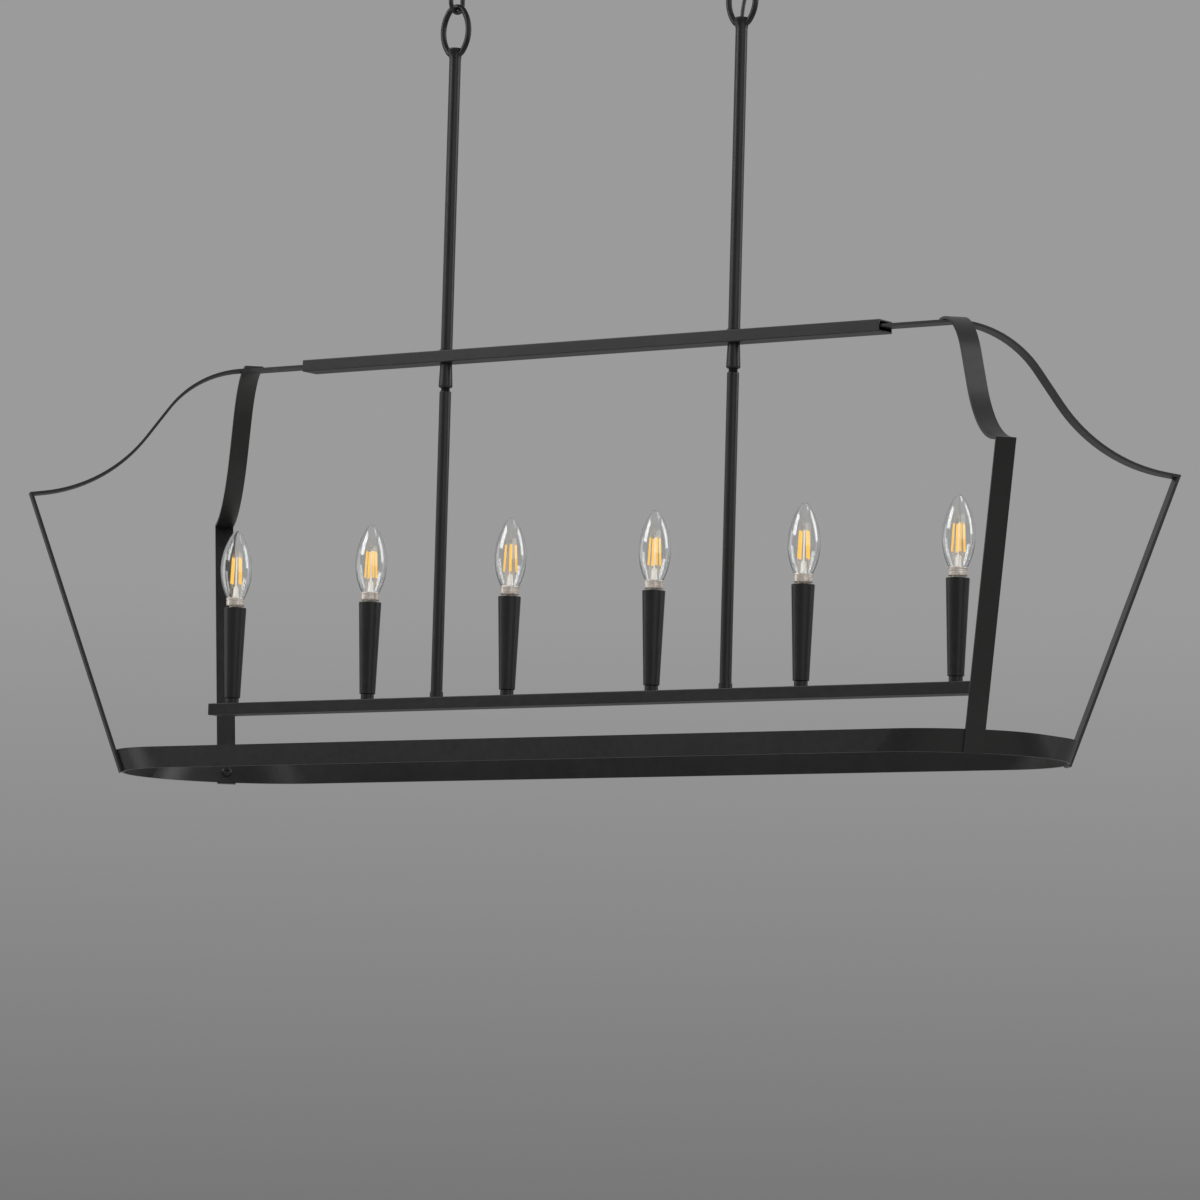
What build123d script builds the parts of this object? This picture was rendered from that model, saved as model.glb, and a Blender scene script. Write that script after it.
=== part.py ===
import os
from math import atan2, cos, degrees, pi, radians, sin, sqrt, tan

from build123d import *

os.makedirs("parts", exist_ok=True)

# Millimetres. The origin is the middle of the ceiling face. The bars run along X,
# left is -X, front is -Y, and everything hangs down along -Z.

# ---- driving sizes -------------------------------------------------------------

# lamps along the lower bar, three each side of the middle
lamps_each_side = 3
stem_x = 187.0

# fits
thread_gap = 0.05
wire_gap = 0.3

# threaded tube that joins stems, bars, loops and lamp holders
nipple_od = 10.0
nipple_bore = 6.5
nipple_reach = 8.0
nut_across_flats = 14.0
nut_height = 3.3
nipple_below_nut = 1.5

# canopy and the bar that carries it
canopy_length = 500.0
canopy_width = 120.0
canopy_depth = 25.0
canopy_sheet = 1.2
canopy_corner = 14.0
canopy_edge = 3.0
mount_bar_length = 430.0
mount_bar_width = 24.0
mount_bar_sheet = 2.5
mount_bar_corner = 6.0
box_screw_spacing = 88.9
box_screw_hole = 5.0
box_screw_slot = 14.0

# cast loops on the canopy and on the stems
loop_height = 60.0
loop_width = 40.0
loop_wire = 6.3
loop_end_radius = 12.0
loop_collar_height = 11.0
loop_collar_wide = 16.5
loop_collar_narrow = 13.4
loop_rim_height = 2.0
loop_rim_round = 1.0

# chain links
link_length = 42.0
link_width = 26.0
link_wire = 5.0
links_each_side = 3

# stems
stem_od = 12.7
upper_stem_length = 320.0
stem_edge = 1.2
seat_ring_od = 15.7
seat_ring_height = 2.2
seat_ring_edge = 0.5
collar_od = 14.4
collar_height = 6.5
collar_edge = 0.7
coupling_top_od = 12.9
coupling_low_od = 15.2
coupling_height = 26.8
coupling_edge = 2.2
bare_nipple = 3.8

# bars
bar_width = 25.4
bar_height = 12.7
top_bar_length = 748.0
top_bar_wall = 1.5
lamp_bar_length = 982.0
lamp_to_bar_end = 23.5
lamp_bar_wall = 1.2
end_cap_sheet = 1.5
end_cap_plug = 8.0
bar_corner = 0.8
bar_drop = 376.3

# flat strip of the rail and the four arms
strip_width = 20.5
strip_sheet = 3.0
fork_x = 453.3
arm_angle = 45.0
arm_start = 2.0
crest_radius = 112.0
flank_angle = 54.0
flank_length = 42.0
hollow_radius = 165.0
tail_angle = 8.0
tail_length = 15.0
lap_length = 10.0
leg_drop = 452.8
leg_overhang = 1.6

# band at the foot of the legs
band_radius = 129.5
band_height = 23.1
band_sheet = 3.0
band_end_flat = 2.0
band_seat_gap = 0.05
foot_screw_shank = 4.0
foot_screw_head = 11.5
foot_screw_head_height = 3.2
foot_screw_head_round = 1.9
foot_screw_bite = 2.0
foot_head_gap = 0.2

# lamp holders
sleeve_height = 100.0
sleeve_low_od = 17.2
sleeve_top_od = 24.5
sleeve_wall = 1.8
sleeve_floor = 2.0
sleeve_edge = 0.8
socket_od = 17.0
socket_height = 38.0
socket_recess = 0.6
socket_bore = 12.3

# candle bulb
cap_od = 11.9
cap_length = 15.0
cap_tip_od = 6.0
cap_tip_height = 2.0
cap_neck_od = 13.4
bulb_lift = 1.8
bulb_collar_od = 21.6
bulb_collar_low_od = 20.4
bulb_collar_height = 8.8
bulb_collar_edge = 1.0
bulb_collar_recess = 3.0
glass_height = 75.0
glass_belly_height = 32.0
glass_belly_radius = 17.5
glass_neck_radius = 9.6
glass_tip_radius = 6.0
glass_wall = 0.8
glass_stem_radius = 4.2
glass_press_radius = 2.2
glass_press_height = 13.0
glass_press_straight = 4.0
glass_rod_shoulder = 1.0
glass_rod_radius = 0.8
filament_low = 14.8
filament_high = 46.0
filament_low_circle = 6.8
filament_high_circle = 5.2
filament_od = 2.0
filament_wire = 0.7
filament_count = 4
filament_wire_depth = 1.0

# wires
inner_wire_od = 3.0
lead_od = 4.0
lead_bend_share = 0.45

# route of the lead beside the right-hand chain, from the canopy to the stem loop
lead_route = [
    (187.0, 0.0, -9.0),
    (187.0, 0.0, -42.0),
    (187.3, 17.5, -72.0),
    (186.4, 18.6, -104.0),
    (187.5, 17.4, -137.0),
    (187.0, 18.0, -170.0),
    (187.0, 0.0, -203.0),
    (187.0, 0.0, -223.0),
]

# ---- sizes worked out from them --------------------------------------------------

nipple_hole = nipple_od + 2 * thread_gap
sides = {"left": -1, "right": 1}
lamp_pitch = (lamp_bar_length - 2 * lamp_to_bar_end) / (2 * lamps_each_side - 1)
lamp_xs = [lamp_pitch * (i + 0.5) for i in range(-lamps_each_side, lamps_each_side)]

# chain of heights from the ceiling down: each wire rests on the next, wire_gap apart
canopy_face_z = -canopy_depth
ceiling_loop_wire_z = canopy_face_z - loop_height + loop_wire / 2
loop_to_link = (loop_wire + link_wire) / 2 + wire_gap
link_to_link = link_wire + wire_gap
link_reach = link_length - link_wire
link_top_zs = [
    ceiling_loop_wire_z + loop_to_link - i * (link_reach - link_to_link)
    for i in range(links_each_side)
]
stem_loop_wire_z = link_top_zs[-1] - link_reach + loop_to_link
stem_top_z = stem_loop_wire_z + loop_wire / 2 - loop_height
top_bar_z = stem_top_z - upper_stem_length - seat_ring_height
lamp_bar_z = top_bar_z - bar_drop
coupling_top_z = top_bar_z - bar_height
coupling_low_z = coupling_top_z - coupling_height
lower_stem_top_z = coupling_low_z - bare_nipple
collar_top_z = lamp_bar_z + collar_height
sleeve_top_z = collar_top_z + sleeve_height
socket_top_z = sleeve_top_z - socket_recess
socket_low_z = socket_top_z - socket_height
socket_depth = cap_length + cap_tip_height - bulb_lift - socket_recess + wire_gap
rail_top_z = top_bar_z - (bar_height - strip_sheet) / 2

# the arm's outline in its own upright plane: t outwards from the fork, h up from the rail
crest_end = Vector(
    arm_start + crest_radius * sin(radians(flank_angle)),
    -crest_radius * (1 - cos(radians(flank_angle))),
)
flank_end = crest_end + flank_length * Vector(cos(radians(flank_angle)), -sin(radians(flank_angle)))
hollow_end = flank_end + hollow_radius * Vector(
    sin(radians(flank_angle)) - sin(radians(tail_angle)),
    cos(radians(flank_angle)) - cos(radians(tail_angle)),
)
shoulder = hollow_end + tail_length * Vector(cos(radians(tail_angle)), -sin(radians(tail_angle)))

# the band's low edge is a little above the leg ends, and its 45-degree lines lean with
# the legs, so the corners of its top outline are drawn tighter than those below
band_low_h = -leg_drop + leg_overhang
band_low_corner = band_radius - band_end_flat / 2
band_low_t = sqrt(2) * (band_radius - band_low_corner) + band_low_corner


def leg_foot(lean):
    """The leg's outer foot when the leg leans outwards by this angle from upright."""
    across = (strip_sheet + band_seat_gap) / cos(lean)
    return band_low_t + across - leg_overhang * tan(lean)


leg_lean = 0.0
for _ in range(20):
    leg_lean = atan2(shoulder.X - leg_foot(leg_lean), leg_drop + shoulder.Y)
foot_t = leg_foot(leg_lean)
band_top_t = band_low_t + band_height * tan(leg_lean)
band_top_corner = (sqrt(2) * band_radius - band_top_t) / (sqrt(2) - 1)


def save(part, name):
    part.label = name
    export_step(part, f"parts/{name}.step")


def upright(x, z):
    """The plane that a turned piece's half outline is drawn in: X outwards, Y up."""
    return Plane(origin=(x, 0, z), x_dir=(1, 0, 0), z_dir=(0, -1, 0))


def tube(outer, inner, low_z, high_z, centres):
    """Upright tubes of the same size, one at each centre."""
    with BuildPart() as tubes:
        with BuildSketch(Plane.XY.offset(low_z)):
            with Locations(*centres):
                Circle(outer / 2)
                Circle(inner / 2, mode=Mode.SUBTRACT)
        extrude(amount=high_z - low_z)
    return tubes


# ---- ceiling: mounting bar, nipples, nuts, canopy -----------------------------------

stem_points = [(side * stem_x, 0) for side in sides.values()]

with BuildPart() as mounting_bar:
    with BuildSketch(Plane.XY.offset(-mount_bar_sheet)):
        RectangleRounded(mount_bar_length, mount_bar_width, mount_bar_corner)
        with Locations(*stem_points):
            Circle(nipple_hole / 2, mode=Mode.SUBTRACT)
        with Locations((-box_screw_spacing / 2, 0), (box_screw_spacing / 2, 0)):
            Circle(box_screw_hole / 2, mode=Mode.SUBTRACT)
        SlotOverall(box_screw_slot, box_screw_hole, mode=Mode.SUBTRACT)
    extrude(amount=mount_bar_sheet)
save(mounting_bar.part, "mounting_bar")

canopy_nipples = tube(nipple_od, nipple_bore, canopy_face_z - nipple_reach, 0, stem_points)
save(canopy_nipples.part, "canopy_nipples")


def hex_nuts(low_z, centres):
    """Hexagon nuts of the nipple thread."""
    with BuildPart() as nuts:
        with BuildSketch(Plane.XY.offset(low_z)):
            with Locations(*centres):
                RegularPolygon(nut_across_flats / 2, 6, major_radius=False)
                Circle(nipple_hole / 2, mode=Mode.SUBTRACT)
        extrude(amount=nut_height)
    return nuts


canopy_nuts = hex_nuts(-mount_bar_sheet - nut_height, stem_points)
save(canopy_nuts.part, "canopy_nuts")

with BuildPart() as canopy:
    with BuildSketch(Plane.XY.offset(canopy_face_z)):
        RectangleRounded(canopy_length, canopy_width, canopy_corner)
    extrude(amount=canopy_depth)
    fillet(canopy.faces().sort_by(Axis.Z)[0].edges(), canopy_edge)
    offset(amount=-canopy_sheet, openings=canopy.faces().sort_by(Axis.Z)[-1])
    with BuildSketch(Plane.XY.offset(canopy_face_z)):
        with Locations(*stem_points):
            Circle(nipple_hole / 2)
    extrude(amount=canopy_sheet, mode=Mode.SUBTRACT)
save(canopy.part, "canopy")


# ---- cast loops --------------------------------------------------------------------

half_ring_w = (loop_width - loop_wire) / 2
half_ring_h = (loop_height - loop_wire) / 2
ring_end_offset = half_ring_h - loop_end_radius
ring_side_radius = (half_ring_w**2 + ring_end_offset**2 - loop_end_radius**2) / (
    2 * (half_ring_w - loop_end_radius)
)
ring_end_angle = degrees(atan2(ring_end_offset, ring_side_radius - half_ring_w))
loop_rim_z = loop_collar_height - loop_rim_height
loop_rim_end_r = loop_collar_wide / 2 - loop_rim_round


def cast_loop(x, end_z, up):
    """An oval ring rising from a tapered collar, whose flat end is at end_z.

    The collar is bored through, so the wires pass from the ring into the nipple.
    """
    plane = Plane(origin=(x, 0, end_z), x_dir=(1, 0, 0), z_dir=(0, -up, 0))
    middle = loop_height / 2
    with BuildPart() as loop:
        with BuildLine(plane) as path:
            start = 90 - ring_end_angle
            CenterArc((0, middle + ring_end_offset), loop_end_radius, ring_end_angle, 2 * start)
            CenterArc((ring_side_radius - half_ring_w, middle), ring_side_radius,
                      180 - ring_end_angle, 2 * ring_end_angle)
            CenterArc((0, middle - ring_end_offset), loop_end_radius, 180 + ring_end_angle, 2 * start)
            CenterArc((half_ring_w - ring_side_radius, middle), ring_side_radius,
                      -ring_end_angle, 2 * ring_end_angle)
        with BuildSketch(Plane(origin=path.line @ 0, z_dir=path.line % 0)):
            Circle(loop_wire / 2)
        sweep()
        with BuildSketch(plane):
            with BuildLine():
                low = Line((0, 0), (loop_collar_narrow / 2, 0))
                flare = TangentArc(low @ 1, (loop_collar_wide / 2, loop_rim_z), tangent=(0, 1))
                rim = TangentArc(flare @ 1, (loop_rim_end_r, loop_collar_height), tangent=flare % 1)
                top = Line(rim @ 1, (0, loop_collar_height))
                Line(top @ 1, (0, 0))
            make_face()
        revolve(axis=Axis((x, 0, 0), (0, 0, 1)))
        with BuildSketch(plane):
            with Locations((nipple_hole / 4, loop_collar_height / 2)):
                Rectangle(nipple_hole / 2, loop_collar_height + 2 * thread_gap)
        revolve(axis=Axis((x, 0, 0), (0, 0, 1)), mode=Mode.SUBTRACT)
    return loop


for side, sign in sides.items():
    ceiling_loop = cast_loop(sign * stem_x, canopy_face_z, -1)
    save(ceiling_loop.part, f"ceiling_loop_{side}")
    stem_loop = cast_loop(sign * stem_x, stem_top_z, 1)
    save(stem_loop.part, f"stem_loop_{side}")


# ---- chains ------------------------------------------------------------------------

link_bend = (link_width - link_wire) / 2
link_straight = link_reach - 2 * link_bend


def chain_link(x, top_z, across):
    """One link whose top wire's centre is at top_z; across is its width's direction."""
    facing = Vector(across).cross(Vector(0, 0, 1))
    plane = Plane(origin=(x, 0, top_z - link_reach / 2), x_dir=across, z_dir=facing)
    with BuildPart() as link:
        with BuildLine(plane) as path:
            right = Line((link_bend, -link_straight / 2), (link_bend, link_straight / 2))
            top = JernArc(right @ 1, right % 1, link_bend, 180)
            left = Line(top @ 1, top @ 1 + (right @ 0 - right @ 1))
            JernArc(left @ 1, left % 1, link_bend, 180)
        with BuildSketch(Plane(origin=path.line @ 0, z_dir=(0, 0, 1))):
            Circle(link_wire / 2)
        sweep()
    return link


for side, sign in sides.items():
    for i, top_z in enumerate(link_top_zs):
        across = (1, 0, 0) if i % 2 else (0, 1, 0)
        link = chain_link(sign * stem_x, top_z, across)
        save(link.part, f"{side}_link_{i + 1}")


# ---- stems -------------------------------------------------------------------------

stem_bore = nipple_hole

for side, sign in sides.items():
    upper_stem = tube(stem_od, stem_bore, stem_top_z - upper_stem_length, stem_top_z, [(sign * stem_x, 0)])
    save(upper_stem.part, f"upper_stem_{side}")

    with BuildPart() as coupling:
        with BuildSketch(upright(sign * stem_x, coupling_low_z)):
            with BuildLine():
                top = Line((nipple_hole / 2, coupling_height), (coupling_top_od / 2, coupling_height))
                taper = Line(top @ 1, (coupling_low_od / 2, coupling_edge))
                edge = TangentArc(taper @ 1, (coupling_low_od / 2 - coupling_edge, 0), tangent=taper % 1)
                low = Line(edge @ 1, (nipple_hole / 2, 0))
                Line(low @ 1, top @ 0)
            make_face()
        revolve(axis=Axis((sign * stem_x, 0, 0), (0, 0, 1)))
    save(coupling.part, f"coupling_{side}")

    lower_stem = tube(stem_od, stem_bore, collar_top_z, lower_stem_top_z, [(sign * stem_x, 0)])
    with lower_stem:
        outer_rim = lower_stem.faces().sort_by(Axis.Z)[-1].edges().sort_by(SortBy.RADIUS)[-1]
        fillet(outer_rim, stem_edge)
    save(lower_stem.part, f"lower_stem_{side}")


lamp_points = [(x, 0) for x in lamp_xs]

# turned rings with eased outer edges: two seat the upper stems on the top bar, and the
# rest carry the lower stems and the sleeves on the lower bar
ring_rows = [
    (seat_ring_od, top_bar_z, seat_ring_height, seat_ring_edge, stem_points),
    (collar_od, lamp_bar_z, collar_height, collar_edge, stem_points + lamp_points),
]
with BuildPart() as turned_collars:
    for od, low_z, height, edge, centres in ring_rows:
        with BuildSketch(Plane.XY.offset(low_z)):
            with Locations(*centres):
                Circle(od / 2)
                Circle(nipple_hole / 2, mode=Mode.SUBTRACT)
        extrude(amount=height)
        rims = turned_collars.edges(Select.LAST).filter_by(GeomType.CIRCLE)
        chamfer(rims.filter_by(lambda e: abs(e.radius - od / 2) < thread_gap), edge)
save(turned_collars.part, "turned_collars")

# threaded tubes: loop into stem, stem through the top bar into the lower stem, and
# stem or lamp holder into the lower bar
bar_nipple_low_z = lamp_bar_z - lamp_bar_wall - nut_height - nipple_below_nut
nipple_runs = [
    (stem_top_z - nipple_reach, stem_top_z + nipple_reach, stem_points),
    (lower_stem_top_z - nipple_reach, top_bar_z + seat_ring_height + nipple_reach, stem_points),
    (bar_nipple_low_z, collar_top_z + nipple_reach, stem_points),
    (bar_nipple_low_z, socket_low_z + nipple_reach, lamp_points),
]
with BuildPart() as threaded_nipples:
    for low_z, high_z, centres in nipple_runs:
        with BuildSketch(Plane.XY.offset(low_z)):
            with Locations(*centres):
                Circle(nipple_od / 2)
                Circle(nipple_bore / 2, mode=Mode.SUBTRACT)
        extrude(amount=high_z - low_z)
save(threaded_nipples.part, "threaded_nipples")

nut_rows = [
    (rail_top_z, stem_points),
    (rail_top_z - strip_sheet - nut_height, stem_points),
    (lamp_bar_z - lamp_bar_wall - nut_height, stem_points + lamp_points),
]
with BuildPart() as lock_nuts:
    for low_z, centres in nut_rows:
        with BuildSketch(Plane.XY.offset(low_z)):
            with Locations(*centres):
                RegularPolygon(nut_across_flats / 2, 6, major_radius=False)
                Circle(nipple_hole / 2, mode=Mode.SUBTRACT)
        extrude(amount=nut_height)
save(lock_nuts.part, "lock_nuts")


# ---- bars --------------------------------------------------------------------------


def bar_tube(length, wall, top_z, through, single):
    """A rectangular tube along X, with nipple holes through both walls or only the top."""
    middle_z = top_z - bar_height / 2
    with BuildPart() as bar:
        with BuildSketch(Plane(origin=(-length / 2, 0, middle_z), x_dir=(0, 1, 0), z_dir=(1, 0, 0))):
            RectangleRounded(bar_width, bar_height, bar_corner)
            Rectangle(bar_width - 2 * wall, bar_height - 2 * wall, mode=Mode.SUBTRACT)
        extrude(amount=length)
        with BuildSketch(Plane.XY.offset(top_z)):
            with Locations(*(through + single)):
                Circle(nipple_hole / 2)
        extrude(amount=-wall, mode=Mode.SUBTRACT)
        if through:
            with BuildSketch(Plane.XY.offset(top_z - bar_height)):
                with Locations(*through):
                    Circle(nipple_hole / 2)
            extrude(amount=wall, mode=Mode.SUBTRACT)
    return bar


top_bar = bar_tube(top_bar_length, top_bar_wall, top_bar_z, stem_points, [])
save(top_bar.part, "top_bar")

lamp_bar_tube = lamp_bar_length - 2 * end_cap_sheet
bulb_bar = bar_tube(lamp_bar_tube, lamp_bar_wall, lamp_bar_z, [], stem_points + lamp_points)
save(bulb_bar.part, "bulb_bar")

plug_width = bar_width - 2 * (lamp_bar_wall + thread_gap)
plug_height = bar_height - 2 * (lamp_bar_wall + thread_gap)
with BuildPart() as bar_end_caps:
    for sign in sides.values():
        face = Plane(
            origin=(sign * (lamp_bar_length / 2 - end_cap_sheet), 0, lamp_bar_z - bar_height / 2),
            x_dir=(0, 1, 0),
            z_dir=(1, 0, 0),
        )
        with BuildSketch(face):
            RectangleRounded(bar_width, bar_height, bar_corner)
        extrude(amount=sign * end_cap_sheet)
        with BuildSketch(face):
            Rectangle(plug_width, plug_height)
        extrude(amount=-sign * end_cap_plug)
save(bar_end_caps.part, "bar_end_caps")


# ---- rail strip and arms -------------------------------------------------------------


def fork_cut(sign, arm_side):
    """The plane of the mitre between the rail and the arm that carries its line on."""
    half_turn = radians(arm_angle / 2)
    return Plane(
        origin=(sign * fork_x, 0, rail_top_z),
        z_dir=(sign * cos(half_turn), arm_side * sin(half_turn), 0),
    )


# the arm that carries on the rail's line is the front one at the left and the back one
# at the right; the other arm of each pair is lapped over the joint
carried_on = {"left": -1, "right": 1}

with BuildPart() as rail_strip:
    with BuildSketch(Plane.XY.offset(rail_top_z)):
        Rectangle(2 * (fork_x + strip_width), strip_width)
        with Locations(*stem_points):
            Circle(nipple_hole / 2, mode=Mode.SUBTRACT)
    extrude(amount=-strip_sheet)
    for side, sign in sides.items():
        split(bisect_by=fork_cut(sign, carried_on[side]), keep=Keep.BOTTOM)
save(rail_strip.part, "rail_strip")

screw_h = band_low_h + band_height / 2
screw_t = band_low_t + tan(leg_lean) * band_height / 2
screw_tilt = Vector(-cos(leg_lean), sin(leg_lean))


def arm(sign, arm_side, lapped):
    """One arm: a strip bent to a crest, a hollow and a sharp shoulder, then the leg."""
    outwards = Vector(sign * cos(radians(arm_angle)), arm_side * sin(radians(arm_angle)), 0)
    facing = outwards.cross(Vector(0, 0, 1))
    plane = Plane(origin=(sign * fork_x, 0, rail_top_z), x_dir=outwards, z_dir=facing)
    lift = strip_sheet if lapped else 0
    back = lap_length if lapped else strip_width
    crest_shift = lift / tan(radians(flank_angle))
    flank_run = flank_length + lift / sin(radians(flank_angle))
    with BuildPart() as arm_part:
        with BuildSketch(plane):
            with BuildLine():
                start = Line((-back, lift), (arm_start - crest_shift, lift))
                crest = JernArc(start @ 1, start % 1, crest_radius, -flank_angle)
                flank = PolarLine(crest @ 1, flank_run, direction=crest % 1)
                hollow = JernArc(flank @ 1, flank % 1, hollow_radius, flank_angle - tail_angle)
                tail = PolarLine(hollow @ 1, tail_length, direction=hollow % 1)
                Line(tail @ 1, (foot_t, -leg_drop))
                offset(amount=strip_sheet, side=Side.RIGHT, kind=Kind.INTERSECTION)
            make_face()
            if lapped:
                with Locations((0, -strip_sheet / 2)):
                    Rectangle(strip_width, strip_sheet, mode=Mode.SUBTRACT)
        extrude(amount=strip_width / 2, both=True)
        if not lapped:
            split(bisect_by=fork_cut(sign, arm_side), keep=Keep.TOP)
        screw_seat = plane.from_local_coords(Vector(screw_t, screw_h))
        into_leg = plane.from_local_coords(Vector(screw_t, screw_h) - screw_tilt) - screw_seat
        with BuildSketch(Plane(origin=screw_seat, z_dir=into_leg)):
            Circle(foot_screw_shank / 2 + thread_gap)
        extrude(amount=foot_screw_bite + 2 * thread_gap, mode=Mode.SUBTRACT)
    return arm_part, Plane(origin=screw_seat, z_dir=into_leg)


screw_planes = []
for side, sign in sides.items():
    for place, arm_side in {"front": -1, "back": 1}.items():
        arm_part, screw_plane = arm(sign, arm_side, arm_side != carried_on[side])
        screw_planes.append(screw_plane)
        save(arm_part.part, f"arm_{side}_{place}")


# ---- band and its screws --------------------------------------------------------------

band_low_z = rail_top_z + band_low_h


def band_outline(z, corner, inset):
    """The band's outline at one height, drawn in by inset."""
    with BuildSketch(Plane.XY.offset(z)) as outline:
        RectangleRounded(2 * (fork_x + band_radius - inset), 2 * (band_radius - inset), corner - inset)
    return outline.sketch


outer_band = [
    band_outline(band_low_z, band_low_corner, 0),
    band_outline(band_low_z + band_height, band_top_corner, 0),
]
inner_band = [
    band_outline(band_low_z, band_low_corner, band_sheet),
    band_outline(band_low_z + band_height, band_top_corner, band_sheet),
]

with BuildPart() as base_ring:
    loft(outer_band, ruled=True)
    loft(inner_band, ruled=True, mode=Mode.SUBTRACT)
    for screw_plane in screw_planes:
        with BuildSketch(screw_plane):
            Circle(foot_screw_shank / 2 + thread_gap)
        extrude(amount=-2 * band_sheet, mode=Mode.SUBTRACT)
save(base_ring.part, "base_ring")

head_seat = -(band_sheet * cos(leg_lean) + foot_head_gap)
with BuildPart() as foot_screws:
    for screw_plane in screw_planes:
        with BuildSketch(screw_plane.offset(head_seat)):
            Circle(foot_screw_shank / 2)
        extrude(amount=-head_seat + foot_screw_bite)
        with BuildSketch(screw_plane.offset(head_seat)):
            Circle(foot_screw_head / 2)
        extrude(amount=-foot_screw_head_height)
    head_faces = foot_screws.faces().filter_by(GeomType.PLANE).filter_by(
        lambda f: abs(f.area - pi * foot_screw_head**2 / 4) < 1e-3
    )
    fillet(head_faces.edges(), foot_screw_head_round)
save(foot_screws.part, "foot_screws")


# ---- lamp holders ----------------------------------------------------------------------


def sleeve_radius(height):
    """Outer radius of a sleeve at a height above its foot."""
    return (sleeve_low_od + (sleeve_top_od - sleeve_low_od) * height / sleeve_height) / 2


for i, x in enumerate(lamp_xs):
    axis = Axis((x, 0, 0), (0, 0, 1))
    with BuildPart() as sleeve:
        with BuildSketch(upright(x, collar_top_z)):
            with BuildLine():
                Polyline(
                    (nipple_hole / 2, 0),
                    (sleeve_radius(0), 0),
                    (sleeve_radius(sleeve_height), sleeve_height),
                    (sleeve_radius(sleeve_height) - sleeve_wall, sleeve_height),
                    (sleeve_radius(sleeve_floor) - sleeve_wall, sleeve_floor),
                    (nipple_hole / 2, sleeve_floor),
                    close=True,
                )
            make_face()
        revolve(axis=axis)
        fillet(sleeve.faces().sort_by(Axis.Z)[-1].edges(), sleeve_edge)
    save(sleeve.part, f"candle_sleeve_{i + 1}")

with BuildPart() as lamp_sockets:
    with BuildSketch(Plane.XY.offset(socket_low_z)):
        with Locations(*lamp_points):
            Circle(socket_od / 2)
    extrude(amount=socket_height)
    with BuildSketch(Plane.XY.offset(socket_top_z)):
        with Locations(*lamp_points):
            Circle(socket_bore / 2)
    extrude(amount=-socket_depth, mode=Mode.SUBTRACT)
    with BuildSketch(Plane.XY.offset(socket_low_z)):
        with Locations(*lamp_points):
            Circle(nipple_hole / 2)
    extrude(amount=nipple_reach + thread_gap, mode=Mode.SUBTRACT)
save(lamp_sockets.part, "lamp_sockets")


# ---- candle bulbs ----------------------------------------------------------------------

bulb_collar_low = sleeve_top_z + bulb_lift
glass_foot_z = bulb_collar_low + bulb_collar_height


def glass_outline(inset):
    """Half of the candle shape: neck, belly and tip as tangent arcs, drawn in by inset."""
    belly = (glass_belly_radius - inset, glass_belly_height)
    neck = (glass_neck_radius - inset, 0)
    rise = glass_height - glass_tip_radius - glass_belly_height
    top_radius = (glass_belly_radius**2 + rise**2 - glass_tip_radius**2) / (
        2 * (glass_belly_radius - glass_tip_radius)
    )
    centre = Vector(glass_belly_radius - top_radius, glass_belly_height)
    to_tip = (Vector(0, glass_height - glass_tip_radius) - centre).normalized()
    tip_start = centre + to_tip * (top_radius - inset)
    foot = -bulb_collar_recess + inset
    with BuildLine() as outline:
        bottom = Line((0, foot), (neck[0], foot))
        Line(bottom @ 1, neck)
        TangentArc(belly, neck, tangent=(0, -1))
        side = TangentArc(belly, tip_start, tangent=(0, 1))
        TangentArc(side @ 1, (0, glass_height - inset), tangent=side % 1)
        Line((0, glass_height - inset), (0, foot))
    return outline.edges()


def rod(start, end, radius):
    """A round rod from one point to another."""
    run = end - start
    with BuildPart() as piece:
        with BuildSketch(Plane(origin=start, z_dir=run)):
            Circle(radius)
        extrude(amount=run.length)
    return piece.part


outer_glass = glass_outline(0)
inner_glass = glass_outline(glass_wall)

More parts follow.
